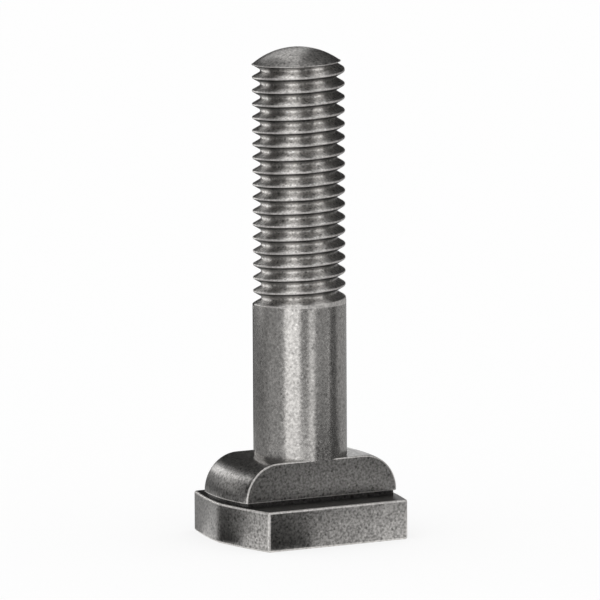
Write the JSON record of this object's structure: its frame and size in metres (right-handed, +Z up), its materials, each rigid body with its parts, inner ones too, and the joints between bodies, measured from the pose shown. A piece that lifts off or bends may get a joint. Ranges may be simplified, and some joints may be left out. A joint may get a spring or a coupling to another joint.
{
  "type": "t-slot bolt",
  "caption": "T-slot bolt: threaded stud with an oval point and plain shank, arched neck that fills the slot, and a rectangular T head with bowed ends.",
  "frame": {"origin": "centre of the T head's underside", "axes": "+Z up the bolt from the head to the point, +X along the slot that the head slides in, +Y across the slot"},
  "size_m": [0.0282, 0.0234, 0.0734],
  "materials": {
    "steel": "satin, lightly oiled forged and machined steel"
  },
  "bodies": {
    "root": {"t_slot_bolt": "steel"}
  },
  "joints": []
}
